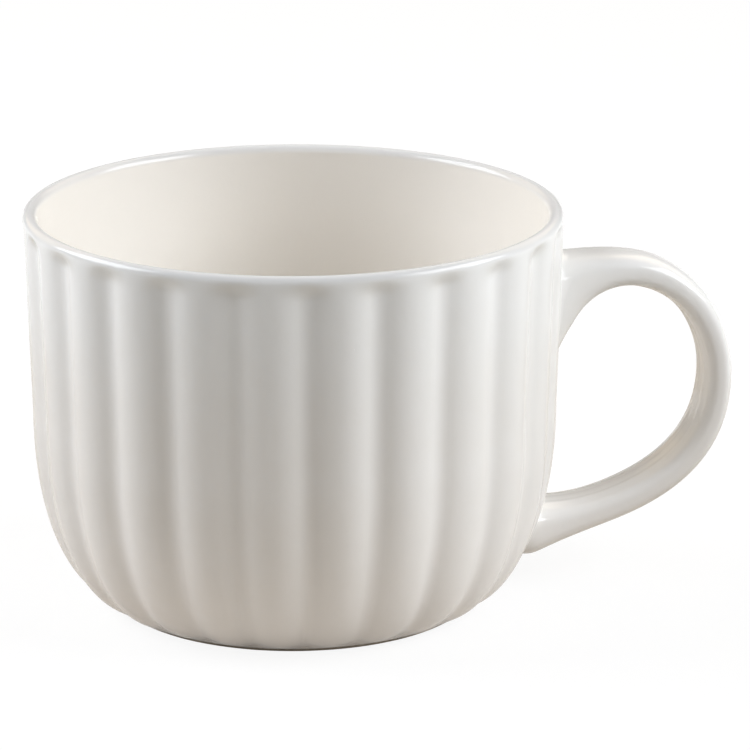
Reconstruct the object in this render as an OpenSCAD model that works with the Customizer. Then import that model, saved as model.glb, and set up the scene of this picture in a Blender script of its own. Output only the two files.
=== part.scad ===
// Soup mug: a wide glazed cup with upright lobes, an oval strap handle luted on with slip,
// and a bare clay ring that it stands on. Millimetres, +Z up, the cup's axis on Z, the table at 0.

/* [Cup] */
// Outside diameter at the rim
rim_d = 120; // [100:1:140]
// Height from the table to the rim
mug_h = 90; // [80:0.5:110]
// How far the wall leans in between the rim and the bowl
wall_lean = 1.25; // [0:0.05:4]
// Height at which the straight wall turns into the bowl
bowl_h = 46.5; // [40:0.5:56]
// Fullness of the bowl's curve, 2 being a true ellipse
bowl_fullness = 2.25; // [2:0.05:3]
// Thickness of the wall at a lobe's crest
wall_t = 4; // [3:0.1:6]
// Thickness of the floor
floor_t = 4.5; // [3:0.1:8]
// Depth of the glazed recess under the floor
recess_h = 0.8; // [0.3:0.1:1.5]

/* [Rim] */
// Thickness of the wall at the rim
rim_t = 3.4; // [3:0.1:5]
// Radius of the rim's outer edge
rim_round = 1.9; // [0.8:0.1:2]
// Radius of the rim's inner edge
lip_round = 1.3; // [0.5:0.1:1.4]

/* [Lobes] */
// Number of upright lobes
lobes = 24; // [16:1:30]
// Depth of the valleys between the lobes
lobe_depth = 1.5; // [0.4:0.1:1.8]
// Share of a lobe's width that bulges out
crest_share = 0.74; // [0.5:0.01:0.8]
// Plain band between the rim and the lobes
band_h = 0.5; // [0.4:0.1:6]
// Length of a lobe's rounded top end
lobe_top_h = 2.5; // [2:0.5:12]
// Length of a lobe's rounded bottom end, measured outwards
lobe_foot_w = 1.4; // [1:0.1:6]

/* [Handle] */
// Free room for fingers between the wall and the handle
finger_gap = 35.3; // [26:0.1:42]
// Thickness of the strap at its upper end
strap_upper_t = 7.6; // [5:0.1:9]
// Thickness of the strap where it reaches furthest
strap_belly_t = 6.4; // [5:0.1:9]
// Thickness of the strap at its lower end
strap_lower_t = 7.4; // [5:0.1:10]
// Width of the strap
strap_w = 14.5; // [12:0.5:22]
// Squareness of the strap's section, 2 being a true oval
strap_squareness = 2.5; // [2:0.1:4]
// Distance of the upper root below the rim
upper_root_drop = 21.7; // [18:0.1:26]
// Height of the lower root above the table
lower_root_h = 12.8; // [11:0.1:20]
// Share of the way up from the lower root to the upper one where the strap reaches furthest
belly_share = 0.61; // [0.5:0.01:0.7]
// Run of the curve that leaves the upper root
upper_run = 21.5; // [14:0.5:26]
// Rise of the curve that leaves the upper root
upper_rise = 11.5; // [8:0.5:16]
// Length of the curve above the strap's furthest point
belly_upper_run = 18; // [10:0.5:22]
// Length of the curve below the strap's furthest point
belly_lower_run = 21; // [10:0.5:24]
// Run of the curve that arrives at the lower root
lower_run = 27; // [14:0.5:32]
// Rise of the curve that arrives at the lower root
lower_rise = 3.5; // [0:0.5:8]
// Thickness added where the upper root flares onto the wall
upper_flare_t = 9.5; // [2:0.5:14]
// Length of the upper root's flare
upper_flare_l = 20; // [10:0.5:24]
// Thickness added where the lower root flares onto the wall
lower_flare_t = 5; // [1:0.5:6]
// Length of the lower root's flare
lower_flare_l = 20; // [8:0.5:26]
// Width added where both roots flare onto the wall
flare_w = 3; // [0:0.5:5]

/* [Slip joints] */
// Thickness of the slip between the handle and the wall
slip_t = 1; // [0.5:0.1:2]
// How far the slip is pressed out round the handle
slip_bead = 0.5; // [0.2:0.1:1.5]

/* [Foot] */
// Outside diameter of the standing ring
foot_d = 80.5; // [70:0.5:90]
// How far the standing ring is set back under the edge of the bowl
foot_inset = 1.4; // [0.4:0.1:3]
// Width of the standing ring
foot_w = 5; // [3:0.5:8]
// Height of the standing ring
foot_h = 1.1; // [1:0.1:3]
// Radius of the standing ring's worn edges
foot_round = 0.5; // [0.2:0.1:0.9]

/* [Hidden] */

// Points along one lobe, rings along each stretch and sides of the strap
lobe_steps = 8;
bowl_steps = 11;
lobe_end_steps = 4;
round_steps = 3;
strap_steps = 16;
strap_sides = 24;
cavity_steps = 20;
dish_steps = 8;
$fn = 96;

// Cuts run this far past the face that they open
overrun = 2;
// Lobes on either side of the handle that a root can touch
root_lobes = 2;
half_share = 1 / 2;
crest_half_share = crest_share * half_share;
valley_half_share = half_share - crest_half_share;
// How quickly a root's flare dies away along the strap
flare_power = 2.5;
// Share of the inner lip's quarter round that is cut, leaving a narrow flat crown
lip_share = 0.8;

rim_r = rim_d / 2;
bowl_r = rim_r - wall_lean;
foot_r = foot_d / 2;
seat_r = foot_r + foot_inset;
// Share of the bowl's width that its curve has gained at the seat of the ring
seat_share = pow(1 - pow(1 - foot_h / bowl_h, bowl_fullness), 1 / bowl_fullness);
// Radius at which the bowl's curve would reach the table
flat_r = (seat_r - seat_share * bowl_r) / (1 - seat_share);
inner_rim_r = rim_r - rim_t;
inner_bowl_r = bowl_r - wall_t;
floor_z = foot_h + floor_t;
lobe_top_z = mug_h - rim_round - band_h;
wall_top_z = mug_h - rim_round;
bowl_power = 2 / bowl_fullness;

upper_root_z = mug_h - upper_root_drop;
upper_root_r = wall_r(upper_root_z);
lower_root_r = bowl_level_r(lower_root_h);
belly_z = lower_root_h + belly_share * (upper_root_z - lower_root_h);
belly_r = wall_r(max(belly_z, bowl_h)) + finger_gap + strap_belly_t / 2;
// The strap starts inside the wall, deep enough that the wall's face trims all of its end
root_sink = (upper_flare_t + strap_upper_t) / 2;

function smooth(x) = let (s = min(max(x, 0), 1)) s * s * (3 - 2 * s);
function unit(v) = v / norm(v);

// Radius of the straight wall at a height, and of the bowl below it
function wall_r(z) = bowl_r + wall_lean * (z - bowl_h) / (wall_top_z - bowl_h);
function bowl_level_r(z) =
    flat_r + (bowl_r - flat_r) * pow(1 - pow(1 - z / bowl_h, bowl_fullness), 1 / bowl_fullness);

// Share of a valley's depth at a place across a lobe: a bulging arc that meets a hollow one
function lobe_drop(u) =
    abs(u) < crest_half_share
    ? u * u / (half_share * crest_half_share)
    : 1 - pow(half_share - abs(u), 2) / (half_share * valley_half_share);

// A level of the envelope is radius, height, the slope it faces and the share of the lobe's depth
bowl_cut = asin(pow(1 - foot_h / bowl_h, 1 / bowl_power));
bowl_levels = [
    for (i = [0 : bowl_steps])
        let (
            a = bowl_cut * (1 - i / bowl_steps),
            c = pow(cos(a), bowl_power),
            s = pow(sin(a), bowl_power),
            r = flat_r + (bowl_r - flat_r) * c,
            facing = unit([
                pow(c, bowl_fullness - 1) / (bowl_r - flat_r),
                -pow(s, bowl_fullness - 1) / bowl_h
            ])
        )
        [r, bowl_h * (1 - s), facing, smooth((r - seat_r) / lobe_foot_w) * r / rim_r]
];
wall_levels = [
    for (i = [0 : lobe_end_steps])
        let (z = lobe_top_z - lobe_top_h * (1 - i / lobe_end_steps))
        [wall_r(z), z, [1, 0], smooth((lobe_top_z - z) / lobe_top_h)]
];
rim_levels = [
    for (i = [0 : round_steps])
        let (a = 90 * i / round_steps)
        [rim_r - rim_round * (1 - cos(a)), wall_top_z + rim_round * sin(a), [1, 0], 0]
];

// A point of the lobed surface, at a step round the cup and grown outwards
function lobed_point(level, k, grow) =
    let (
        a = 360 * k / (lobes * lobe_steps),
        u = k / lobe_steps - round(k / lobe_steps),
        shift = level[2] * (grow - lobe_depth * level[3] * lobe_drop(u)),
        r = level[0] + shift[0]
    )
    [r * cos(a), r * sin(a), level[1] + shift[1]];
function full_loop(level) = [for (k = [0 : lobes * lobe_steps - 1]) lobed_point(level, k, 0)];
function root_loop(level, grow) =
    concat(
        [[0, 0, level[1] + level[2][1] * grow]],
        [for (k = [-root_lobes * lobe_steps : root_lobes * lobe_steps]) lobed_point(level, k, grow)]
    );

// A closed skin over loops of points that follow one another
module skin(loops) {
    n = len(loops[0]);
    last = len(loops) - 1;
    polyhedron(
        points = [for (loop = loops) each loop],
        faces = concat(
            [[for (k = [0 : n - 1]) k]],
            [
                for (i = [0 : last - 1], k = [0 : n - 1])
                    let (a = i * n + k, b = i * n + (k + 1) % n)
                    each [[a, a + n, b + n], [a, b + n, b]]
            ],
            [[for (k = [n - 1 : -1 : 0]) last * n + k]]
        )
    );
}

// The cup's lobed outside, cut flat for the standing ring and rounded over at the rim
module lobed_outside() {
    skin([for (level = concat(bowl_levels, wall_levels, rim_levels)) full_loop(level)]);
}

// The stretch of the lobed outside that the handle meets, grown outwards
module root_seat(grow) {
    skin([for (level = concat(bowl_levels, wall_levels)) root_loop(level, grow)]);
}

// The smooth space for the soup, turned about the axis, with its rounded lip
module cavity() {
    lip = [
        for (i = [0 : round_steps])
            let (a = 180 - 90 * lip_share * i / round_steps)
            [inner_rim_r + lip_round * (1 + cos(a)), mug_h + lip_round * (sin(a) - 1)]
    ];
    bowl = [
        for (i = [0 : cavity_steps])
            let (a = 90 * (1 - i / cavity_steps))
            [
                flat_r + (inner_bowl_r - flat_r) * pow(cos(a), bowl_power),
                bowl_h - (bowl_h - floor_z) * pow(sin(a), bowl_power)
            ]
    ];
    rotate_extrude()
        polygon(concat(
            [[0, floor_z]],
            bowl,
            lip,
            [[inner_rim_r + lip_round, mug_h + overrun], [0, mug_h + overrun]]
        ));
}

// The shallow glazed dish inside the standing ring
module recess() {
    dish_r = foot_r - foot_w;
    dish = [
        for (i = [0 : dish_steps])
            let (r = dish_r * (1 - i / dish_steps))
            [r, foot_h + recess_h * smooth((dish_r - r) / (foot_w + recess_h))]
    ];
    rotate_extrude()
        polygon(concat([[0, foot_h - overrun], [dish_r, foot_h - overrun]], dish));
}

// The strap's centre line: one curve out to its furthest point and one back to the wall
upper_ends = [[upper_root_r, upper_root_z], [belly_r, belly_z]];
lower_ends = [[belly_r, belly_z], [lower_root_r, lower_root_h]];
upper_curve = [
    upper_ends[0],
    upper_ends[0] + [upper_run, upper_rise],
    upper_ends[1] + [0, belly_upper_run],
    upper_ends[1]
];
lower_curve = [
    lower_ends[0],
    lower_ends[0] - [0, belly_lower_run],
    lower_ends[1] + [lower_run, lower_rise],
    lower_ends[1]
];
function curve_point(c, t) =
    pow(1 - t, 3) * c[0] + 3 * pow(1 - t, 2) * t * c[1] + 3 * (1 - t) * t * t * c[2] + pow(t, 3) * c[3];
function curve_heading(c, t) =
    unit(pow(1 - t, 2) * (c[1] - c[0]) + 2 * (1 - t) * t * (c[2] - c[1]) + t * t * (c[3] - c[2]));

// A station of the strap is its place, its heading and its share of the way along
upper_stations = [
    for (i = [0 : strap_steps - 1])
        let (t = i / strap_steps)
        [curve_point(upper_curve, t), curve_heading(upper_curve, t), t * half_share]
];
lower_stations = [
    for (i = [0 : strap_steps])
        let (t = i / strap_steps)
        [curve_point(lower_curve, t), curve_heading(lower_curve, t), half_share + t * half_share]
];
upper_start = [
    upper_stations[0][0] - root_sink * upper_stations[0][1],
    upper_stations[0][1],
    0
];
lower_end = [
    lower_stations[strap_steps][0] + root_sink * lower_stations[strap_steps][1],
    lower_stations[strap_steps][1],
    1
];

function squared(x) = sign(x) * pow(abs(x), 2 / strap_squareness);
function flare(run, length) = pow(1 - min(run / length, 1), flare_power);
function strap_loop(station, bead) =
    let (
        at = station[0],
        heading = station[1],
        share = station[2],
        upper = share < half_share ? flare(at[0] - upper_root_r, upper_flare_l) : 0,
        lower = share > half_share ? flare(abs(at[0] - lower_root_r), lower_flare_l) : 0,
        root_t = share < half_share ? strap_upper_t : strap_lower_t,
        plain_t = strap_belly_t + (root_t - strap_belly_t) * abs(share - half_share) / half_share,
        half_t = (plain_t + upper * upper_flare_t + lower * lower_flare_t) / 2 + bead,
        half_w = (strap_w + (upper + lower) * flare_w) / 2 + bead
    )
    [
        for (k = [0 : strap_sides - 1])
            let (a = 360 * k / strap_sides, out = half_t * squared(cos(a)))
            [at[0] + heading[1] * out, half_w * squared(sin(a)), at[1] - heading[0] * out]
    ];

// Stations near each root that the slip is pressed out round
slip_steps = 5;
upper_slip_stations = concat([upper_start], [for (i = [0 : slip_steps]) upper_stations[i]]);
lower_slip_stations =
    concat([for (i = [strap_steps - slip_steps : strap_steps]) lower_stations[i]], [lower_end]);

// The slip fills the space between the handle's trimmed end and the lobed wall
module slip_joint(stations) {
    difference() {
        intersection() {
            skin([for (station = stations) strap_loop(station, slip_bead)]);
            root_seat(slip_t);
        }
        root_seat(0);
    }
}

module cup_body() {
    color("white")
        difference() {
            lobed_outside();
            cavity();
            recess();
        }
}

module handle() {
    color("white")
        difference() {
            skin([
                for (station = concat([upper_start], upper_stations, lower_stations, [lower_end]))
                    strap_loop(station, 0)
            ]);
            root_seat(slip_t);
        }
}

module upper_slip_joint() {
    color("whitesmoke") slip_joint(upper_slip_stations);
}

module lower_slip_joint() {
    color("whitesmoke") slip_joint(lower_slip_stations);
}

module foot_ring() {
    color("linen")
        rotate_extrude()
            translate([foot_r - foot_w, 0])
                union() {
                    translate([foot_round, 0]) square([foot_w - 2 * foot_round, foot_h]);
                    translate([0, foot_round]) square([foot_w, foot_h - foot_round]);
                    for (x = [foot_round, foot_w - foot_round])
                        translate([x, foot_round]) circle(foot_round);
                }
}

cup_body();
handle();
upper_slip_joint();
lower_slip_joint();
foot_ring();
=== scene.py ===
"""Soup mug: a lobed, white glazed cup with an oval strap handle and a bare clay standing ring.

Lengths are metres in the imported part's own frame: the cup's axis is Z, the table is at zero and the
handle points along +X. Sizes that the frame shows are read from it, and the rest are named fields.
"""

import logging
import math
from dataclasses import dataclass, field
from enum import Enum
from typing import Any

import bmesh
import bpy
import numpy as np
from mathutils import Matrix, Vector
from mathutils.bvhtree import BVHTree


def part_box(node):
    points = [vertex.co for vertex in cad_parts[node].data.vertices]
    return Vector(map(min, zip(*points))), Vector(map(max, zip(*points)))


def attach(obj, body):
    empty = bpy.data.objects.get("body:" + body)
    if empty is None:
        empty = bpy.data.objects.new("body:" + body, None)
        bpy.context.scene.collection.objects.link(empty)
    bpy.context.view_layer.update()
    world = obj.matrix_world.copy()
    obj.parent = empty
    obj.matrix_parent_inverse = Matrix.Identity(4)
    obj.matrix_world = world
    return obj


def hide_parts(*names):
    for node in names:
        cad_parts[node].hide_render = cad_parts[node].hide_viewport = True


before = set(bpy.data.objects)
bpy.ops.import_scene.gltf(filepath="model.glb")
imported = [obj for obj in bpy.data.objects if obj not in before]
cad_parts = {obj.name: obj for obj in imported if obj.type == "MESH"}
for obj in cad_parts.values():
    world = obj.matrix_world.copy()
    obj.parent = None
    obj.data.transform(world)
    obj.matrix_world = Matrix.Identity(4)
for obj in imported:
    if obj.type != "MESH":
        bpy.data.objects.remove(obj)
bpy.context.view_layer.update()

LOG = logging.getLogger("soup_mug")
BODY = "root"
IMAGE_PIXELS = 750
FULL_TURN = 2 * math.pi
MERGE = 1e-6
SHARP_ANGLE = math.radians(50)
WOBBLE_DETAIL = 1.0
# Places of a Mix node's two colours and of the colour that it gives
MIX_COLOURS = (6, 7)
MIX_RESULT = 2
INSIDE = "inside"
RIM_PAINTED_SHADE = "edge"
Colour = tuple[float, float, float]
Span = tuple[float, float]


class Node(Enum):
    """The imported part's nodes."""

    CUP = "cup_body"
    HANDLE = "handle"
    UPPER_SLIP = "upper_slip_joint"
    LOWER_SLIP = "lower_slip_joint"
    FOOT = "foot_ring"


class Slot(Enum):
    """The record's material slots."""

    GLAZE = "glaze"
    SLIP = "slip"
    CLAY = "bare_clay"


def opaque(colour: Colour) -> tuple[float, float, float, float]:
    """A colour that lets nothing through."""
    return (*colour, 1.0)


def direction(azimuth: float, elevation: float) -> Vector:
    """The way from the mug to a place round it.

    Args:
        azimuth: degrees round, from minus Y towards plus X.
        elevation: degrees up from the table.

    Returns:
        A unit vector.
    """
    turn, lift = math.radians(azimuth), math.radians(elevation)
    return Vector((math.sin(turn) * math.cos(lift), -math.cos(turn) * math.cos(lift), math.sin(lift)))


def cubic(points: tuple[Any, ...], t: Any) -> Any:
    """Places on a cubic curve.

    Args:
        points: the curve's four points, as vectors or arrays.
        t: the share of the way along, or an array of shares.

    Returns:
        A place for each share.
    """
    a, b, c, d = points
    return (1 - t) ** 3 * a + 3 * (1 - t) ** 2 * t * b + 3 * (1 - t) * t**2 * c + t**3 * d


class Wire:
    """An output socket, with the arithmetic that adds Math nodes to its tree."""

    def __init__(self, tree: "Tree", socket: bpy.types.NodeSocket) -> None:
        """Holds a socket and the tree that it belongs to."""
        self.tree = tree
        self.socket = socket

    def other(self, name: str) -> "Wire":
        """Another output of the same node."""
        return Wire(self.tree, self.socket.node.outputs[name])

    def maths(self, operation: str, *values: Any) -> "Wire":
        """Adds one Math node.

        Args:
            operation: the node's operation.
            values: what follows this socket, as sockets or numbers.

        Returns:
            The node's result.
        """
        inputs = dict(enumerate((self, *values)))
        return self.tree.make("ShaderNodeMath", {"operation": operation}, inputs)

    def __add__(self, value: Any) -> "Wire":
        """Sum."""
        return self.maths("ADD", value)

    def __radd__(self, value: Any) -> "Wire":
        """Sum with a number on the left."""
        return self.maths("ADD", value)

    def __sub__(self, value: Any) -> "Wire":
        """Difference."""
        return self.maths("SUBTRACT", value)

    def __rsub__(self, value: Any) -> "Wire":
        """Difference from a number on the left."""
        return (-self).maths("ADD", value)

    def __neg__(self) -> "Wire":
        """Negative."""
        return self.maths("MULTIPLY", -1.0)

    def __mul__(self, value: Any) -> "Wire":
        """Product."""
        return self.maths("MULTIPLY", value)

    def __rmul__(self, value: Any) -> "Wire":
        """Product with a number on the left."""
        return self.maths("MULTIPLY", value)

    def __truediv__(self, value: Any) -> "Wire":
        """Quotient."""
        return self.maths("DIVIDE", value)

    def __rtruediv__(self, value: Any) -> "Wire":
        """Quotient of a number on the left."""
        return self.maths("POWER", -1.0).maths("MULTIPLY", value)

    def __pow__(self, value: Any) -> "Wire":
        """Power."""
        return self.maths("POWER", value)

    def __abs__(self) -> "Wire":
        """Absolute value."""
        return self.maths("ABSOLUTE")

    def __lt__(self, value: Any) -> "Wire":
        """One where this is less, and zero elsewhere."""
        return self.maths("LESS_THAN", value)

    def sin(self) -> "Wire":
        """Sine."""
        return self.maths("SINE")

    def cos(self) -> "Wire":
        """Cosine."""
        return self.maths("COSINE")

    def sign(self) -> "Wire":
        """Sign."""
        return self.maths("SIGN")

    def fraction(self) -> "Wire":
        """Fractional part."""
        return self.maths("FRACT")

    def smooth(self, low: Any, high: Any) -> "Wire":
        """A soft step from zero at low to one at high."""
        return self.tree.make(
            "ShaderNodeMapRange",
            {"interpolation_type": "SMOOTHSTEP"},
            {"Value": self, "From Min": low, "From Max": high},
            "Result",
        )


class Tree:
    """A node tree and the one method that adds nodes to it."""

    def __init__(self, nodes: bpy.types.NodeTree) -> None:
        """Holds Blender's own tree."""
        self.nodes = nodes

    def make(
        self,
        kind: str,
        settings: dict[str, Any] | None = None,
        inputs: dict[Any, Any] | None = None,
        output: Any = 0,
    ) -> Wire:
        """Adds one node.

        Args:
            kind: Blender's name of the node type.
            settings: the node's own settings, set before its sockets. A ramp takes "stops".
            inputs: values or links by socket name or place.
            output: the name or place of the output to return.

        Returns:
            The chosen output.
        """
        node = self.nodes.nodes.new(kind)
        for name, value in (settings or {}).items():
            if name == "stops":
                self._set_stops(node.color_ramp, value)
            else:
                setattr(node, name, value)
        for key, value in (inputs or {}).items():
            for one in value if isinstance(value, list) else [value]:
                self.feed(node.inputs[key], one)
        return Wire(self, node.outputs[output]) if node.outputs else Wire(self, node.inputs[0])

    def feed(self, socket: bpy.types.NodeSocket, value: Any) -> None:
        """Links a wire to a socket, or sets its value.

        Args:
            socket: the input to feed.
            value: a wire or a plain value.
        """
        if isinstance(value, Wire):
            self.nodes.links.new(value.socket, socket)
        else:
            socket.default_value = value

    @staticmethod
    def _set_stops(ramp: bpy.types.ColorRamp, stops: list[tuple[float, Colour]]) -> None:
        """Gives a colour ramp its stops.

        Args:
            ramp: a new node's ramp.
            stops: places from zero to one, each with its colour.
        """
        while len(ramp.elements) < len(stops):
            ramp.elements.new(1.0)
        for element, (place, colour) in zip(ramp.elements, stops):
            element.position = place
            element.color = opaque(colour)


class ShaderTree(Tree):
    """A material's or the world's tree, emptied, with what its finishes share."""

    def __init__(self, owner: bpy.types.Material | bpy.types.World) -> None:
        """Empties the owner's tree."""
        owner.use_nodes = True
        owner.node_tree.nodes.clear()
        super().__init__(owner.node_tree)

    def noise(self, where: Wire, scale: float, detail: float) -> Wire:
        """Soft noise about one half, at a scale in cycles a metre."""
        inputs = {"Vector": where, "Scale": scale, "Detail": detail}
        return self.make("ShaderNodeTexNoise", None, inputs, "Fac")

    def cells(self, where: Wire, scale: float) -> Wire:
        """Distance from the nearest cell's middle, as a share of a cell."""
        inputs = {"Vector": where, "Scale": scale}
        return self.make("ShaderNodeTexVoronoi", None, inputs, "Distance")

    def bump(self, height: Wire) -> Wire:
        """A normal that follows a height in metres."""
        inputs = {"Strength": 1.0, "Distance": 1.0, "Height": height}
        return self.make("ShaderNodeBump", None, inputs)

    def mix(self, share: Wire, low: Any, high: Any) -> Wire:
        """Mixes two colours by a share.

        Args:
            share: how much of the second colour shows.
            low: the first colour, as a wire or three numbers.
            high: the second colour.

        Returns:
            The mixed colour.
        """
        inputs: dict[Any, Any] = {"Factor": share}
        for place, colour in zip(MIX_COLOURS, (low, high)):
            inputs[place] = opaque(colour) if isinstance(colour, tuple) else colour
        return self.make("ShaderNodeMix", {"data_type": "RGBA"}, inputs, MIX_RESULT)

    def seen(self, gloss_share: float | Wire) -> Wire:
        """How far a ray sees the white studio rather than what lights the mug.

        Args:
            gloss_share: the share of the white that shows in gloss and through glass.

        Returns:
            One for the camera's rays, the share for glossy ones and zero for lighting.
        """
        path = self.make("ShaderNodeLightPath", None, None, "Is Camera Ray")
        shown = path.maths("MAXIMUM", path.other("Is Glossy Ray") * gloss_share)
        return shown.maths("MAXIMUM", path.other("Is Transmission Ray") * gloss_share)


class TurnedTree(Tree):
    """A Geometry Nodes tree that turns bands about the Z axis and joins them into one skin."""

    def __init__(self, name: str, sizes: dict[str, float]) -> None:
        """Makes the tree, with one named input for each size.

        Args:
            name: the tree's name.
            sizes: the named inputs and their values.
        """
        super().__init__(bpy.data.node_groups.new(name, "GeometryNodeTree"))
        face = self.nodes.interface
        face.new_socket("Mesh", in_out="OUTPUT", socket_type="NodeSocketGeometry")
        for size in sizes:
            face.new_socket(size, in_out="INPUT", socket_type="NodeSocketFloat")
        face.new_socket("Finish", in_out="INPUT", socket_type="NodeSocketMaterial")
        self.sizes = sizes
        self.entry = self.make("NodeGroupInput")
        self.bands: list[Wire] = []

    def size(self, name: str) -> Wire:
        """A named input."""
        return self.entry.other(name)

    def grid(self, around: int, along: int) -> tuple[Wire, Wire, Wire]:
        """Adds a flat grid to be turned.

        Args:
            around: faces round the axis.
            along: faces along the profile.

        Returns:
            The grid, the share of the way round and the share of the way along.
        """
        mesh = self.make(
            "GeometryNodeMeshGrid",
            None,
            {"Size X": 1.0, "Size Y": 1.0, "Vertices X": around + 1, "Vertices Y": along + 1},
        )
        place = self.make("GeometryNodeInputPosition")
        split = self.make("ShaderNodeSeparateXYZ", None, {0: place}, "X")
        return mesh, split + 0.5, split.other("Y") + 0.5

    def turn(
        self,
        mesh: Wire,
        round_share: Wire,
        radius: Wire,
        height: Wire,
        inside: Any = 0.0,
        edge: Any = 0.0,
    ) -> None:
        """Wraps a grid round the axis and keeps it as a band.

        Args:
            mesh: the flat grid.
            round_share: the share of the way round.
            radius: the distance from the axis.
            height: the height above the table.
            inside: how much of the inside's painted warm light, a stand-in for light bounced round the
                inside, the band carries.
            edge: how much painted shade the band carries, greying the rim's top where little light falls.
        """
        angle = round_share * FULL_TURN
        place = self.make(
            "ShaderNodeCombineXYZ",
            None,
            {"X": radius * angle.cos(), "Y": radius * angle.sin(), "Z": height},
        )
        for name, value in ((INSIDE, inside), (RIM_PAINTED_SHADE, edge)):
            mesh = self.make(
                "GeometryNodeStoreNamedAttribute",
                {"data_type": "FLOAT", "domain": "POINT"},
                {"Geometry": mesh, "Name": name, "Value": value},
            )
        self.bands.append(
            self.make("GeometryNodeSetPosition", None, {"Geometry": mesh, "Position": place})
        )

    def skin(self, wobble: Wire, wobble_scale: float) -> None:
        """Joins the bands, lets the surface sink a little by soft noise, and ends the tree.

        Args:
            wobble: the most that the surface sinks.
            wobble_scale: the noise's scale, in cycles a metre.
        """
        joined = self.make("GeometryNodeJoinGeometry", None, {"Geometry": self.bands})
        merged = self.make("GeometryNodeMergeByDistance", None, {"Geometry": joined, "Distance": MERGE})
        waves = {"Scale": wobble_scale, "Detail": WOBBLE_DETAIL}
        noise = self.make("ShaderNodeTexNoise", None, waves, "Fac")
        sink = self.make(
            "ShaderNodeVectorMath",
            {"operation": "SCALE"},
            {0: self.make("GeometryNodeInputNormal"), "Scale": -(noise * wobble)},
        )
        settled = self.make("GeometryNodeSetPosition", None, {"Geometry": merged, "Offset": sink})
        smooth = self.make("GeometryNodeSetShadeSmooth", None, {"Geometry": settled})
        real = self.make("GeometryNodeRealizeInstances", None, {"Geometry": smooth})
        dressed = self.make(
            "GeometryNodeSetMaterial", None, {"Geometry": real, "Material": self.size("Finish")}
        )
        self.make("NodeGroupOutput", None, {"Mesh": dressed})

    def realise(self, name: str, finish: bpy.types.Material) -> bpy.types.Object:
        """Runs the tree once and keeps the result as a plain mesh.

        Args:
            name: the new piece's name.
            finish: the material that the tree sets.

        Returns:
            The piece, with no modifier left on it.
        """
        piece = add_object(name, bpy.data.meshes.new(name))
        modifier = piece.modifiers.new(name, "NODES")
        modifier.node_group = self.nodes
        values = {**self.sizes, "Finish": finish}
        for item in self.nodes.interface.items_tree:
            if item.in_out == "INPUT":
                modifier[item.identifier] = values[item.name]
        graph = bpy.context.evaluated_depsgraph_get()
        mesh = bpy.data.meshes.new_from_object(piece.evaluated_get(graph))
        piece.modifiers.remove(modifier)
        piece.data = mesh
        mesh.name = name
        return piece


def add_object(name: str, data: Any) -> bpy.types.Object:
    """Links a new object to the scene.

    Args:
        name: its name.
        data: its mesh, light or camera.

    Returns:
        The object.
    """
    made = bpy.data.objects.new(name, data)
    bpy.context.scene.collection.objects.link(made)
    return made


def loops_mesh(name: str, rows: np.ndarray, ring: bool, finish: bpy.types.Material) -> bpy.types.Object:
    """Makes a closed skin over loops of points.

    Args:
        name: the piece's name.
        rows: points as rows, sides and coordinates.
        ring: whether the last row joins the first. If not, both ends are capped.
        finish: the piece's material.

    Returns:
        The piece, smooth, with its faces outwards.
    """
    count, sides = rows.shape[:2]
    mesh = bpy.data.meshes.new(name)
    shape = bmesh.new()
    points = [[shape.verts.new(p) for p in row] for row in rows.tolist()]
    for i in range(count if ring else count - 1):
        low, high = points[i], points[(i + 1) % count]
        for k in range(sides):
            m = (k + 1) % sides
            shape.faces.new((low[k], low[m], high[m], high[k]))
    if not ring:
        for end in (points[0], points[-1]):
            middle = shape.verts.new(sum((v.co for v in end), Vector()) / sides)
            for k in range(sides):
                shape.faces.new((end[k], end[(k + 1) % sides], middle))
    bmesh.ops.remove_doubles(shape, verts=shape.verts, dist=MERGE)
    bmesh.ops.recalc_face_normals(shape, faces=shape.faces)
    for face in shape.faces:
        face.smooth = True
    shape.to_mesh(mesh)
    shape.free()
    mesh.set_sharp_from_angle(angle=SHARP_ANGLE)
    mesh.materials.append(finish)
    return add_object(name, mesh)


def hand_over(piece: bpy.types.Object, node: Node) -> None:
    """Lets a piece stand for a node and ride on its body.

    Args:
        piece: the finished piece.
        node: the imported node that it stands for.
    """
    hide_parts(node.value)
    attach(piece, BODY)
    LOG.info("%s: %d faces, stands for %s", piece.name, len(piece.data.polygons), node.value)


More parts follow.
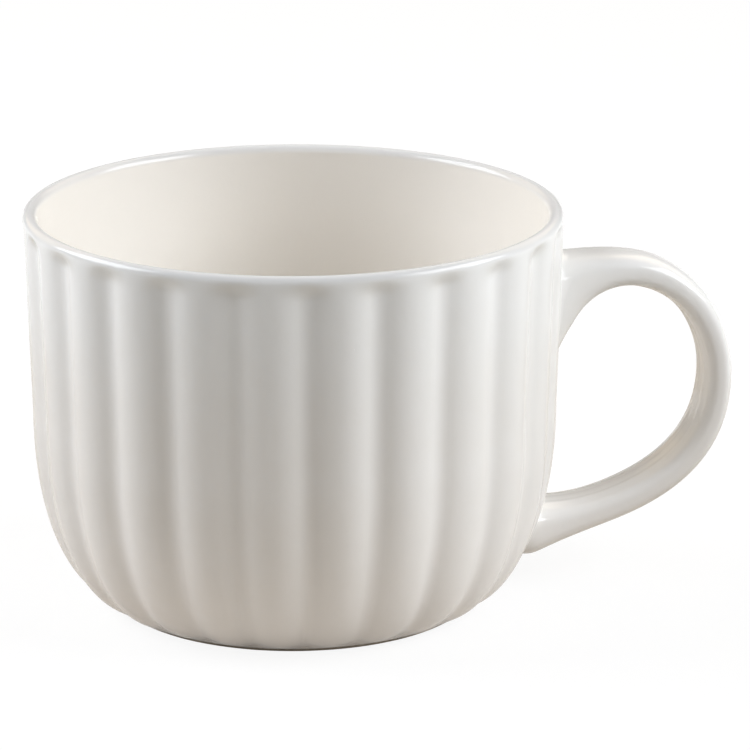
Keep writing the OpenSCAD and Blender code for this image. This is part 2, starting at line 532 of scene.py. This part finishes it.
@dataclass(frozen=True)
class GlazeFinish:
    """Glossy white glaze: clouded warm white, faintly pebbled, with painted warm light inside and painted
    shade over the rim's top.
    """

    name: str
    thick: Colour = (0.814, 0.804, 0.786)
    thin: Colour = (0.800, 0.787, 0.764)
    # painted warm light: a cream cast on the inside that stands for the warm light bounced round it
    inside_painted_warmth: Colour = (0.843, 0.813, 0.760)
    inside_painted_warmth_share: float = 0.8
    # painted shade: a greyer glaze over the rim's top, where little light falls from above
    rim_painted_shade: Colour = (0.700, 0.695, 0.683)
    cloud_scale: float = 28.0
    cloud_detail: float = 2.0
    cloud_share: float = 0.65
    mottle_scale: float = 190.0
    mottle_detail: float = 3.0
    cover_span: Span = (0.32, 0.68)
    peel_scale: float = 620.0
    peel_detail: float = 1.0
    peel_depth: float = 0.000016
    pit_scale: float = 150.0
    pit_size: float = 0.022
    pit_span: Span = (0.56, 0.62)
    pit_depth: float = 0.00003
    rough: float = 0.13
    rough_spread: float = 0.07
    index: float = 1.45

    def material(self) -> bpy.types.Material:
        """Builds the material.

        Returns:
            The glaze.
        """
        made = bpy.data.materials.new(self.name)
        tree = ShaderTree(made)
        place = tree.make("ShaderNodeTexCoord", None, None, "Object")
        cloud = tree.noise(place, self.cloud_scale, self.cloud_detail)
        mottle = tree.noise(place, self.mottle_scale, self.mottle_detail)
        cover = (cloud * self.cloud_share + mottle * (1 - self.cloud_share)).smooth(*self.cover_span)
        white = tree.mix(cover, self.thin, self.thick)
        # share of the inside's painted warm light
        inside = tree.make("ShaderNodeAttribute", {"attribute_name": INSIDE}, None, "Fac")
        # share of the painted shade over the rim's top
        edge = tree.make("ShaderNodeAttribute", {"attribute_name": RIM_PAINTED_SHADE}, None, "Fac")
        body = tree.mix(inside * self.inside_painted_warmth_share, white, self.inside_painted_warmth)
        peel = tree.noise(place, self.peel_scale, self.peel_detail)
        pit = (tree.cells(place, self.pit_scale) < self.pit_size) * mottle.smooth(*self.pit_span)
        shader = tree.make(
            "ShaderNodeBsdfPrincipled",
            None,
            {
                "Base Color": tree.mix(edge, body, self.rim_painted_shade),
                "Roughness": self.rough + (1 - cover) * self.rough_spread,
                "IOR": self.index,
                "Normal": tree.bump(peel * self.peel_depth - pit * self.pit_depth),
            },
        )
        tree.make("ShaderNodeOutputMaterial", None, {"Surface": shader})
        return made


@dataclass(frozen=True)
class BareClayFinish:
    """Fired clay with no glaze: matt, speckled and a little stained where it was ground."""

    name: str
    pale: Colour = (0.66, 0.60, 0.51)
    dark: Colour = (0.47, 0.40, 0.32)
    speck: Colour = (0.24, 0.19, 0.15)
    stain_scale: float = 70.0
    stain_detail: float = 4.0
    stain_span: Span = (0.35, 0.7)
    stain_share: float = 0.6
    grain_scale: float = 2600.0
    grain_detail: float = 2.0
    grain_share: float = 0.25
    grain_depth: float = 0.00006
    speck_scale: float = 900.0
    speck_size: float = 0.16
    rough: float = 0.82
    rough_spread: float = 0.1

    def material(self) -> bpy.types.Material:
        """Builds the material.

        Returns:
            The bare clay.
        """
        made = bpy.data.materials.new(self.name)
        tree = ShaderTree(made)
        place = tree.make("ShaderNodeTexCoord", None, None, "Object")
        stain = tree.noise(place, self.stain_scale, self.stain_detail).smooth(*self.stain_span)
        grain = tree.noise(place, self.grain_scale, self.grain_detail)
        speck = (tree.cells(place, self.speck_scale) < self.speck_size) * stain
        clay = tree.mix(stain * self.stain_share + grain * self.grain_share, self.pale, self.dark)
        shader = tree.make(
            "ShaderNodeBsdfPrincipled",
            None,
            {
                "Base Color": tree.mix(speck, clay, self.speck),
                "Roughness": self.rough + grain * self.rough_spread,
                "Normal": tree.bump(grain * self.grain_depth),
            },
        )
        tree.make("ShaderNodeOutputMaterial", None, {"Surface": shader})
        return made


@dataclass
class LobedCup:
    """The cup: lobed outside, rolled rim, smooth inside and a shallow dish under the floor."""

    wall_lean: float = 0.00125
    bowl_h: float = 0.0465
    fullness: float = 2.25
    wall_t: float = 0.004
    floor_t: float = 0.0045
    recess_h: float = 0.0008
    dish_flat_share: float = 0.85
    rim_t: float = 0.0034
    rim_round: float = 0.0019
    lobes: int = 24
    lobe_depth: float = 0.0015
    crest_share: float = 0.74
    band_h: float = 0.0005
    lobe_top_h: float = 0.0025
    lobe_foot_w: float = 0.0014
    foot_taper: float = 2.6
    roll_share: float = 0.5
    edge_fade: float = 0.25
    foot_w: float = 0.005
    foot_inset: float = 0.0014
    wobble: float = 0.00008
    wobble_scale: float = 45.0
    lobe_faces: int = 16
    under_rows: int = 14
    bowl_rows: int = 56
    wall_rows: int = 44
    rim_rows: int = 14
    inside_wall_rows: int = 12
    inside_bowl_rows: int = 40
    inside_floor_rows: int = 5
    rim_r: float = field(init=False)
    mug_h: float = field(init=False)
    foot_h: float = field(init=False)
    foot_r: float = field(init=False)
    flat_r: float = field(init=False)
    piece: bpy.types.Object = field(init=False)

    def __post_init__(self) -> None:
        """Reads from the frame what the frame shows, and fits the bowl's curve to the ring's seat."""
        low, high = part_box(Node.CUP.value)
        self.rim_r = -low.x
        self.mug_h = high.z
        _, ring_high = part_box(Node.FOOT.value)
        self.foot_h = ring_high.z
        self.foot_r = ring_high.x
        share = self._curve_share(self.foot_h)
        self.flat_r = (self.seat_r - share * self.bowl_r) / (1 - share)

    @property
    def bowl_r(self) -> float:
        """Outside radius where the wall turns into the bowl."""
        return self.rim_r - self.wall_lean

    @property
    def wall_top(self) -> float:
        """Height at which the rim starts to roll over."""
        return self.mug_h - self.rim_round

    @property
    def seat_r(self) -> float:
        """Radius of the edge over the standing ring, where the bowl starts."""
        return self.foot_r + self.foot_inset

    def _curve_share(self, z: float) -> float:
        """Share of its width that the bowl's curve has gained at a height."""
        return (1 - (1 - z / self.bowl_h) ** self.fullness) ** (1 / self.fullness)

    def wall_r(self, z: float) -> float:
        """Outside radius of the straight wall at a height."""
        return self.bowl_r + self.wall_lean * (z - self.bowl_h) / (self.wall_top - self.bowl_h)

    def bowl_level_r(self, z: float) -> float:
        """Outside radius of the bowl at a height."""
        return self.flat_r + (self.bowl_r - self.flat_r) * self._curve_share(z)

    def sizes(self) -> dict[str, float]:
        """The tree's named inputs."""
        return {
            "Rim Radius": self.rim_r,
            "Wall Top": self.wall_top,
            "Rim Round": self.rim_round,
            "Rim Thickness": self.rim_t,
            "Bowl Radius": self.bowl_r,
            "Bowl Height": self.bowl_h,
            "Flat Radius": self.flat_r,
            "Fullness": self.fullness,
            "Wall Thickness": self.wall_t,
            "Floor Level": self.foot_h + self.floor_t,
            "Foot Height": self.foot_h,
            "Seat Radius": self.seat_r,
            "Dish Radius": self.foot_r - self.foot_w,
            "Dish Depth": self.recess_h,
            "Dish Flat Share": self.dish_flat_share,
            "Lobe Count": float(self.lobes),
            "Lobe Depth": self.lobe_depth,
            "Crest Share": self.crest_share,
            "Lobe Top": self.wall_top - self.band_h,
            "Lobe Top Length": self.lobe_top_h,
            "Lobe Foot Width": self.lobe_foot_w,
            "Foot Taper": self.foot_taper,
            "Roll Share": self.roll_share,
            "Edge Fade": self.edge_fade,
            "Wobble": self.wobble,
        }

    def build(self, finish: bpy.types.Material) -> None:
        """Runs the cup's tree.

        Args:
            finish: the glaze.
        """
        tree = TurnedTree("lobed_cup", self.sizes())
        self._under(tree)
        self._bowl(tree)
        self._wall(tree)
        self._rim(tree)
        self._inside(tree)
        tree.skin(tree.size("Wobble"), self.wobble_scale)
        self.piece = tree.realise("glazed_cup", finish)

    def dress(self) -> None:
        """Hands the cup over to the frame."""
        hand_over(self.piece, Node.CUP)

    def surface(self) -> BVHTree:
        """The cup's faces, for the pieces that seat on them.

        Returns:
            A tree that finds the nearest face, or the first one along a line.
        """
        shape = bmesh.new()
        shape.from_mesh(self.piece.data)
        faces = BVHTree.FromBMesh(shape)
        shape.free()
        return faces

    def _grid(self, tree: TurnedTree, along: int) -> tuple[Wire, Wire, Wire]:
        """A grid with the cup's faces round it."""
        return tree.grid(self.lobes * self.lobe_faces, along)

    @staticmethod
    def _valley(tree: TurnedTree, around: Wire) -> Wire:
        """Share of a valley's depth round the cup: a bulging arc that meets a hollow one.

        Args:
            tree: the cup's tree.
            around: the share of the way round.

        Returns:
            Zero on a crest and one at the bottom of a valley.
        """
        crest = tree.size("Crest Share") * 0.5
        across = abs((around * tree.size("Lobe Count") + 0.5).fraction() - 0.5)
        bulge = across * across / (crest * 0.5)
        hollow = 1 - (0.5 - across) ** 2.0 / ((0.5 - crest) * 0.5)
        on_crest = across < crest
        return on_crest * bulge + (1 - on_crest) * hollow

    def _under(self, tree: TurnedTree) -> None:
        """The shallow dish and the seat of the standing ring, from the middle outwards.

        Args:
            tree: the cup's tree.
        """
        mesh, around, along = self._grid(tree, self.under_rows)
        radius = along * tree.size("Seat Radius")
        dish = tree.size("Dish Radius")
        rise = 1 - radius.smooth(dish * tree.size("Dish Flat Share"), dish)
        tree.turn(mesh, around, radius, tree.size("Foot Height") + rise * tree.size("Dish Depth"))

    def _bowl(self, tree: TurnedTree) -> None:
        """The lobed bowl, from the seat of the ring up to the straight wall.

        Args:
            tree: the cup's tree.
        """
        mesh, around, along = self._grid(tree, self.bowl_rows)
        tall, full = tree.size("Bowl Height"), tree.size("Fullness")
        wide = tree.size("Bowl Radius") - tree.size("Flat Radius")
        cut = ((1 - tree.size("Foot Height") / tall) ** (full * 0.5)).maths("ARCSINE")
        angle = (1 - along) * cut
        power = 2.0 / full
        across, down = angle.cos() ** power, angle.sin() ** power
        radius = tree.size("Flat Radius") + wide * across
        facing_out = across ** (full - 1.0) / wide
        facing_down = down ** (full - 1.0) / tall
        length = (facing_out**2.0 + facing_down**2.0) ** 0.5
        start = tree.size("Seat Radius")
        level = (radius / tree.size("Bowl Radius")) ** tree.size("Foot Taper")
        depth = (
            radius.smooth(start, start + tree.size("Lobe Foot Width"))
            * tree.size("Lobe Depth")
            * level
            * tree.size("Bowl Radius")
            / tree.size("Rim Radius")
        )
        sink = depth * self._valley(tree, around) / length
        height = tall * (1 - down)
        tree.turn(mesh, around, radius - sink * facing_out, height + sink * facing_down)

    def _wall(self, tree: TurnedTree) -> None:
        """The straight lobed wall, whose lobes start to round off under the rim.

        Args:
            tree: the cup's tree.
        """
        mesh, around, along = self._grid(tree, self.wall_rows)
        base = tree.size("Bowl Height")
        height = base + along * (tree.size("Wall Top") - base)
        radius = tree.size("Bowl Radius") + along * (tree.size("Rim Radius") - tree.size("Bowl Radius"))
        level = tree.size("Bowl Radius") / tree.size("Rim Radius")
        depth = self._end_depth(tree, height) * (level + along * (1 - level))
        tree.turn(mesh, around, radius - depth * self._valley(tree, around), height)

    @staticmethod
    def _end_depth(tree: TurnedTree, height: Wire) -> Wire:
        """Depth of the valleys at a height, dying away to nothing part way over the rim's roll.

        Args:
            tree: the cup's tree.
            height: the height above the table.

        Returns:
            The depth.
        """
        low = tree.size("Lobe Top") - tree.size("Lobe Top Length")
        end = tree.size("Wall Top") + tree.size("Rim Round") * tree.size("Roll Share")
        return tree.size("Lobe Depth") * (1 - height.smooth(low, end))

    def _rim(self, tree: TurnedTree) -> None:
        """The rolled rim, from the outside over to the inside, with painted shade over its top.

        Args:
            tree: the cup's tree.
        """
        mesh, around, along = self._grid(tree, self.rim_rows)
        angle = along * math.pi
        half = tree.size("Rim Thickness") * 0.5
        radius = tree.size("Rim Radius") - half + half * angle.cos()
        height = tree.size("Wall Top") + tree.size("Rim Round") * angle.sin()
        depth = self._end_depth(tree, height) * (along < 0.5)
        fade = tree.size("Edge Fade")
        # painted shade over the rim's roll, fading out at both ends; the inside's painted warm light
        # starts on the inner side
        edge = along.smooth(0.0, fade) * (1 - along.smooth(1 - fade, 1.0))
        inside = along.smooth(1 - fade, 1.0)
        tree.turn(mesh, around, radius - depth * self._valley(tree, around), height, inside, edge)

    def _inside(self, tree: TurnedTree) -> None:
        """The smooth inside, down the wall, round the bowl and over the floor to the middle.

        Args:
            tree: the cup's tree.
        """
        tall, floor = tree.size("Bowl Height"), tree.size("Floor Level")
        top_r = tree.size("Rim Radius") - tree.size("Rim Thickness")
        wall_r = tree.size("Bowl Radius") - tree.size("Wall Thickness")
        flat = tree.size("Flat Radius")
        # each band here carries the inside's painted warm light in full
        mesh, around, along = self._grid(tree, self.inside_wall_rows)
        height = tree.size("Wall Top") + along * (tall - tree.size("Wall Top"))
        tree.turn(mesh, around, top_r + along * (wall_r - top_r), height, 1.0)
        mesh, around, along = self._grid(tree, self.inside_bowl_rows)
        angle = along * (math.pi / 2)
        power = 2.0 / tree.size("Fullness")
        across, down = abs(angle.cos()) ** power, angle.sin() ** power
        tree.turn(mesh, around, flat + (wall_r - flat) * across, tall - (tall - floor) * down, 1.0)
        mesh, around, along = self._grid(tree, self.inside_floor_rows)
        tree.turn(mesh, around, flat * (1 - along), floor, 1.0)


@dataclass
class StrapHandle:
    """The oval strap: a centre line of two curves, with a section that flares onto the wall."""

    cup: LobedCup
    upper_root_drop: float = 0.0217
    lower_root_h: float = 0.0128
    belly_share: float = 0.61
    upper_run: float = 0.0215
    upper_rise: float = 0.0115
    belly_upper_run: float = 0.018
    belly_lower_run: float = 0.021
    lower_run: float = 0.027
    lower_rise: float = 0.0035
    strap_upper_t: float = 0.0076
    strap_belly_t: float = 0.0064
    strap_lower_t: float = 0.0074
    strap_w: float = 0.0145
    upper_flare_t: float = 0.0095
    upper_flare_l: float = 0.020
    lower_flare_t: float = 0.005
    lower_flare_l: float = 0.020
    flare_w: float = 0.003
    flare_power: float = 2.5
    squareness: float = 2.8
    drawn_lines: int = 5
    drawn_depth: float = 0.00014
    toe_round: float = 0.0015
    clearance: float = 0.00002
    sink: float = 0.0012
    run_on: float = 0.09
    past_end: float = 0.1
    rows: int = 220
    sides: int = 96
    walk_steps: int = 240
    reach: float = field(init=False)
    upper_root: np.ndarray = field(init=False)
    lower_root: np.ndarray = field(init=False)
    upper_curve: tuple[np.ndarray, ...] = field(init=False)
    lower_curve: tuple[np.ndarray, ...] = field(init=False)
    around: np.ndarray = field(init=False)
    upper_met: np.ndarray = field(init=False)
    lower_met: np.ndarray = field(init=False)
    piece: bpy.types.Object = field(init=False)

    def __post_init__(self) -> None:
        """Reads the handle's reach from the frame and lays out its centre line."""
        self.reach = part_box(Node.HANDLE.value)[1].x
        upper_z = self.cup.mug_h - self.upper_root_drop
        self.upper_root = np.array([self.cup.wall_r(upper_z), upper_z])
        self.lower_root = np.array([self.cup.bowl_level_r(self.lower_root_h), self.lower_root_h])
        belly_z = self.lower_root_h + self.belly_share * (upper_z - self.lower_root_h)
        belly = np.array([self.reach - self.clearance - self.strap_belly_t / 2, belly_z])
        self.upper_curve = (
            self.upper_root,
            self.upper_root + (self.upper_run, self.upper_rise),
            belly + (0, self.belly_upper_run),
            belly,
        )
        self.lower_curve = (
            belly,
            belly - (0, self.belly_lower_run),
            self.lower_root + (self.lower_run, self.lower_rise),
            self.lower_root,
        )
        self.around = np.arange(self.sides) * FULL_TURN / self.sides

    def plain_t(self, share: np.ndarray) -> np.ndarray:
        """Thickness of the strap at shares of the way from its upper to its lower root."""
        root_t = np.where(share < 0.5, self.strap_upper_t, self.strap_lower_t)
        return self.strap_belly_t + (root_t - self.strap_belly_t) * np.abs(share - 0.5) * 2

    @staticmethod
    def _curve(points: tuple[np.ndarray, ...], t: np.ndarray) -> tuple[np.ndarray, np.ndarray]:
        """Place and heading on a cubic curve.

        Args:
            points: the curve's four points.
            t: shares of the way along it.

        Returns:
            Places and unit headings.
        """
        t = t[..., None]
        a, b, c, d = points
        slope = (1 - t) ** 2 * (b - a) + 2 * (1 - t) * t * (c - b) + t**2 * (d - c)
        return cubic(points, t), slope / np.linalg.norm(slope, axis=-1, keepdims=True)

    def points(self, share: np.ndarray) -> np.ndarray:
        """Points of the strap's surface.

        Args:
            share: shares of the way along, as rows and sides. Below 0 and past 1 the strap runs on.

        Returns:
            Points as rows, sides and coordinates.
        """
        inner = np.clip(share, 0, 1)
        upper_half = inner < 0.5
        up_place, up_heading = self._curve(self.upper_curve, np.clip(inner * 2, 0, 1))
        low_place, low_heading = self._curve(self.lower_curve, np.clip(inner * 2 - 1, 0, 1))
        place = np.where(upper_half[..., None], up_place, low_place)
        heading = np.where(upper_half[..., None], up_heading, low_heading)
        place = place + heading * ((share - inner) * self.run_on)[..., None]
        upper = self._flare(place[..., 0] - self.upper_root[0], self.upper_flare_l) * upper_half
        past_toe = np.hypot(place[..., 0] - self.lower_root[0], self.toe_round) - self.toe_round
        lower = self._flare(past_toe, self.lower_flare_l) * ~upper_half
        half_t = (self.plain_t(inner) + upper * self.upper_flare_t + lower * self.lower_flare_t) / 2
        half_w = (self.strap_w + (upper + lower) * self.flare_w) / 2
        across = self._rounded(np.sin(self.around))
        out = half_t * self._rounded(np.cos(self.around)) - self._drawn(across)
        side = half_w * across
        return np.stack(
            [place[..., 0] + heading[..., 1] * out, side, place[..., 1] - heading[..., 0] * out], -1
        )

    def _flare(self, run: np.ndarray, length: float) -> np.ndarray:
        """How far a root has flared, at a distance from the wall."""
        return (1 - np.minimum(run / length, 1)) ** self.flare_power

    def _drawn(self, across: np.ndarray) -> np.ndarray:
        """Depth of the faint lines that drawing the strap left along its inner face."""
        inner = np.maximum(np.cos(self.around), 0)
        return self.drawn_depth * inner * (1 - np.cos(self.drawn_lines * math.pi * across)) / 2

    def _rounded(self, wave: np.ndarray) -> np.ndarray:
        """Squares off a circle's sine or cosine into the strap's fuller oval."""
        return np.sign(wave) * np.abs(wave) ** (2 / self.squareness)

    def meet(self, wall: BVHTree, end: float) -> np.ndarray:
        """Where each line along the strap meets the cup.

        Args:
            wall: the cup's surface.
            end: the share of the way along to walk to, from the middle.

        Returns:
            The share of the way along, for each side.
        """
        walk = np.linspace(0.5, end, self.walk_steps)
        lines = self.points(np.repeat(walk[:, None], self.sides, 1))
        met = np.full(self.sides, end)
        for k in range(self.sides):
            for i in range(self.walk_steps - 1):
                here, step = Vector(lines[i, k]), Vector(lines[i + 1, k] - lines[i, k])
                hit = wall.ray_cast(here, step.normalized(), step.length)
                if hit[0] is not None:
                    met[k] = walk[i] + (walk[i + 1] - walk[i]) * hit[3] / step.length
                    break
        return met

    def build(self, wall: BVHTree, finish: bpy.types.Material) -> None:
        """Builds the strap between its two seats on the wall, with its ends sunk a little into it.

        Args:
            wall: the cup's surface.
            finish: the glaze.
        """
        self.upper_met = self.meet(wall, -self.past_end)
        self.lower_met = self.meet(wall, 1 + self.past_end)
        along = np.linspace(0, 1, self.rows)[:, None]
        skin = self.points(self.upper_met + (self.lower_met - self.upper_met) * along)
        first, last = self._sunk(skin[0], skin[1]), self._sunk(skin[-1], skin[-2])
        rows = np.concatenate([first[None], skin, last[None]])
        self.piece = loops_mesh("strap_handle", rows, False, finish)

    def _sunk(self, end: np.ndarray, before: np.ndarray) -> np.ndarray:
        """A loop just past an end loop, inside the wall."""
        step = end - before
        return end + step / np.linalg.norm(step, axis=-1, keepdims=True) * self.sink

    def dress(self) -> None:
        """Hands the handle over to the frame."""
        hand_over(self.piece, Node.HANDLE)


@dataclass
class SlipJoint:
    """The slip smoothed into a fillet between one root of the handle and the wall."""

    name: str
    node: Node
    handle: StrapHandle
    met: np.ndarray
    towards: float
    on_strap: float = 0.003
    on_wall: float = 0.003
    bulge: float = 0.6
    sink: float = 0.0008
    nudge: float = 0.0001
    steps: int = 12
    piece: bpy.types.Object = field(init=False)

    def build(self, wall: BVHTree, finish: bpy.types.Material) -> None:
        """Sweeps a fillet round the root, and closes it out of sight inside the wall.

        Args:
            wall: the cup's surface.
            finish: the glazed slip.
        """
        seat = self.handle.points(self.met[None])[0]
        centre = seat.mean(0)
        small = self.nudge * self.towards
        pace = np.linalg.norm(self.handle.points((self.met + small)[None])[0] - seat, axis=-1)
        start_at = self.met + small * self.on_strap / pace
        start = self.handle.points(start_at[None])[0]
        inward = self.handle.points((start_at - small)[None])[0] - start
        inward /= np.linalg.norm(inward, axis=-1, keepdims=True)
        columns = [
            self._column(wall, *(Vector(v) for v in (start[k], inward[k], seat[k], seat[k] - centre)))
            for k in range(len(seat))
        ]
        rows = np.array(columns).swapaxes(0, 1)
        self.piece = loops_mesh(self.name, rows, True, finish)

    def _column(
        self, wall: BVHTree, start: Vector, inward: Vector, seat: Vector, away: Vector
    ) -> list[Vector]:
        """One line of the fillet, from the strap down to the wall and back underneath.

        Args:
            wall: the cup's surface.
            start: where the fillet leaves the strap.
            inward: the strap's heading there, towards the wall.
            seat: where the strap's own line meets the wall.
            away: the direction from the root's middle to the seat.

        Returns:
            The line's points.
        """
        normal = wall.find_nearest(seat)[1]
        spread = (away - normal * away.dot(normal)).normalized()
        foot, foot_normal = wall.find_nearest(seat + spread * self.on_wall)[:2]
        back = spread - foot_normal * spread.dot(foot_normal)
        pull_start = start + inward * (seat - start).length * self.bulge
        pull_foot = foot - back.normalized() * (foot - seat).length * self.bulge
        curve = (start, pull_start, pull_foot, foot)
        line = [cubic(curve, i / self.steps) for i in range(self.steps + 1)]
        hidden_foot = foot - foot_normal * self.sink
        hidden_seat = seat - normal * self.sink - spread * self.sink
        hidden_start = start - spread * self.sink
        return [*line, hidden_foot, hidden_seat, hidden_start]

    def dress(self) -> None:
        """Hands the joint over to the frame."""
        hand_over(self.piece, self.node)


@dataclass
class StandingRing:
    """The bare clay ring under the cup, with its edges worn round."""

    squareness: float = 7.0
    wobble: float = 0.00004
    wobble_scale: float = 160.0
    around: int = 240
    section: int = 32
    piece: bpy.types.Object = field(init=False)

    def build(self, cup: LobedCup, finish: bpy.types.Material) -> None:
        """Turns the ring's section about the axis.

        Args:
            cup: the cup that the ring carries.
            finish: the bare clay.
        """
        sizes = {
            "Middle Radius": cup.foot_r - cup.foot_w / 2,
            "Half Width": cup.foot_w / 2,
            "Half Height": cup.foot_h / 2,
            "Squareness": self.squareness,
            "Wobble": self.wobble,
        }
        tree = TurnedTree("standing_ring", sizes)
        mesh, around, along = tree.grid(self.around, self.section)
        angle = along * FULL_TURN
        power = 2.0 / tree.size("Squareness")
        across = angle.cos().sign() * abs(angle.cos()) ** power
        up = angle.sin().sign() * abs(angle.sin()) ** power
        radius = tree.size("Middle Radius") + tree.size("Half Width") * across
        tree.turn(mesh, around, radius, tree.size("Half Height") * (1 + up))
        tree.skin(tree.size("Wobble"), self.wobble_scale)
        self.piece = tree.realise("standing_ring", finish)

    def dress(self) -> None:
        """Hands the ring over to the frame."""
        hand_over(self.piece, Node.FOOT)


@dataclass(frozen=True)
class SoftBox:
    """A large soft lamp that faces the mug."""

    name: str
    azimuth: float
    elevation: float
    watts: float
    tint: Colour
    distance: float = 1.2
    width: float = 0.9
    height: float = 0.7

    def build(self, target: Vector) -> None:
        """Hangs the lamp.

        Args:
            target: the point that it faces.
        """
        lamp = bpy.data.lights.new(self.name, "AREA")
        lamp.shape = "RECTANGLE"
        lamp.size, lamp.size_y = self.width, self.height
        lamp.energy = self.watts
        lamp.color = self.tint
        made = add_object(self.name, lamp)
        away = direction(self.azimuth, self.elevation)
        made.location = target + away * self.distance
        made.rotation_euler = away.to_track_quat("Z", "Y").to_euler()


@dataclass(frozen=True)
class Studio:
    """A pale floor under a white surround, lit by a strong soft box at each side and weaker ones."""

    floor_half: float = 3.0
    floor_shown: Colour = (1.0, 1.0, 1.0)
    floor_shown_share: float = 0.9
    floor_reach: float = 0.5
    floor_rings: tuple[tuple[float, Colour], ...] = (
        (0.085, (0.66, 0.60, 0.53)),
        (0.115, (0.40, 0.32, 0.22)),
        (0.22, (0.40, 0.32, 0.22)),
        (0.30, (0.63, 0.74, 0.81)),
    )
    surround: Colour = (1.0, 1.0, 1.0)
    gloss_share: float = 0.4
    floor_gloss: Span = (0.35, 1.0)
    floor_gloss_span: Span = (0.20, 0.33)
    fill: Colour = (0.95, 0.97, 1.0)
    fill_strength: float = 0.01
    boxes: tuple[SoftBox, ...] = (
        SoftBox("left_box", azimuth=-108.0, elevation=35.0, watts=15.3, tint=(0.928, 0.955, 1.0)),
        SoftBox("right_box", azimuth=68.0, elevation=33.0, watts=15.6, tint=(0.946, 0.968, 1.0)),
        SoftBox("back_box", azimuth=132.0, elevation=36.0, watts=2.8, tint=(1.0, 0.83, 0.62)),
        SoftBox("back_left_box", azimuth=-150.0, elevation=28.0, watts=2.4, tint=(1.0, 0.78, 0.50)),
        SoftBox("front_box", azimuth=-28.0, elevation=30.0, watts=1.8, tint=(1.0, 0.93, 0.90)),
    )

    def build(self, target: Vector) -> None:
        """Builds the floor, the surround and the lamps.

        Args:
            target: the mug's middle, which the lamps face.
        """
        self._floor()
        self._surround()
        for box in self.boxes:
            box.build(target)

    def _floor(self) -> None:
        """A floor that reads as white and keeps the shadow, but lights the mug by its rings' colours."""
        mesh = bpy.data.meshes.new("floor")
        half = self.floor_half
        corners = [(-half, -half, 0), (half, -half, 0), (half, half, 0), (-half, half, 0)]
        mesh.from_pydata(corners, [], [(0, 1, 2, 3)])
        made = bpy.data.materials.new("pale_floor")
        tree = ShaderTree(made)
        place = tree.make("ShaderNodeTexCoord", None, None, "Object")
        away = tree.make("ShaderNodeVectorMath", {"operation": "LENGTH"}, {0: place}, "Value")
        stops = [(far / self.floor_reach, colour) for far, colour in self.floor_rings]
        rings = tree.make("ShaderNodeValToRGB", {"stops": stops}, {"Fac": away / self.floor_reach})
        matt = tree.make("ShaderNodeBsdfDiffuse", None, {"Color": rings})
        pale = tree.make("ShaderNodeBsdfDiffuse", None, {"Color": opaque(self.floor_shown)})
        white = tree.make("ShaderNodeEmission", None, {"Color": opaque(self.floor_shown)})
        shown = tree.make("ShaderNodeMixShader", None, {0: self.floor_shown_share, 1: pale, 2: white})
        near, far = self.floor_gloss
        gloss = near + away.smooth(*self.floor_gloss_span) * (far - near)
        both = tree.make("ShaderNodeMixShader", None, {0: tree.seen(gloss), 1: matt, 2: shown})
        tree.make("ShaderNodeOutputMaterial", None, {"Surface": both})
        mesh.materials.append(made)
        add_object("floor", mesh)

    def _surround(self) -> None:
        """A white surround for the eye and for gloss, and a soft fill for lighting."""
        world = bpy.data.worlds.new("surround")
        bpy.context.scene.world = world
        tree = ShaderTree(world)
        fill = tree.make(
            "ShaderNodeBackground", None, {"Color": opaque(self.fill), "Strength": self.fill_strength}
        )
        white = tree.make("ShaderNodeBackground", None, {"Color": opaque(self.surround), "Strength": 1.0})
        both = tree.make("ShaderNodeMixShader", None, {0: tree.seen(self.gloss_share), 1: fill, 2: white})
        tree.make("ShaderNodeOutputWorld", None, {"Surface": both})


@dataclass(frozen=True)
class PhotoCamera:
    """The camera that the photograph was taken with, as fitted to the mug's outline."""

    azimuth: float = -11.4
    elevation: float = 16.54
    distance: float = 1.020
    focal_pixels: float = 4560.0
    aim_right: float = 0.01811
    aim_height: float = 0.05112
    sensor: float = 36.0
    clip_span: float = 100.0

    def build(self) -> None:
        """Places the camera and makes it the scene's own."""
        lens = bpy.data.cameras.new("photo_camera")
        lens.sensor_width = self.sensor
        lens.lens = self.focal_pixels / IMAGE_PIXELS * self.sensor
        lens.clip_start = self.distance / self.clip_span
        lens.clip_end = self.distance * self.clip_span
        made = add_object("photo_camera", lens)
        turn = math.radians(self.azimuth)
        right = Vector((math.cos(turn), math.sin(turn), 0))
        back = direction(self.azimuth, self.elevation)
        aim = right * self.aim_right + Vector((0, 0, self.aim_height))
        made.location = aim + back * self.distance
        made.rotation_euler = back.to_track_quat("Z", "Y").to_euler()
        bpy.context.scene.camera = made


def main() -> None:
    """Builds and dresses the mug's pieces in order, then the studio and the camera."""
    logging.basicConfig(level=logging.INFO, format="%(name)s: %(message)s")
    bpy.context.scene.view_settings.view_transform = "Standard"
    glaze = GlazeFinish("white_glaze").material()
    slip = GlazeFinish("glazed_slip").material()
    clay = BareClayFinish("bare_clay").material()

    cup = LobedCup()
    cup.build(glaze)
    wall = cup.surface()
    cup.dress()

    handle = StrapHandle(cup)
    handle.build(wall, glaze)
    handle.dress()

    joints = (
        SlipJoint("upper_fillet", Node.UPPER_SLIP, handle, handle.upper_met, 1.0),
        SlipJoint("lower_fillet", Node.LOWER_SLIP, handle, handle.lower_met, -1.0),
    )
    for joint in joints:
        joint.build(wall, slip)
        joint.dress()

    ring = StandingRing()
    ring.build(cup, clay)
    ring.dress()

    Studio().build(Vector((0, 0, cup.mug_h / 2)))
    PhotoCamera().build()


if __name__ == "__main__":
    main()
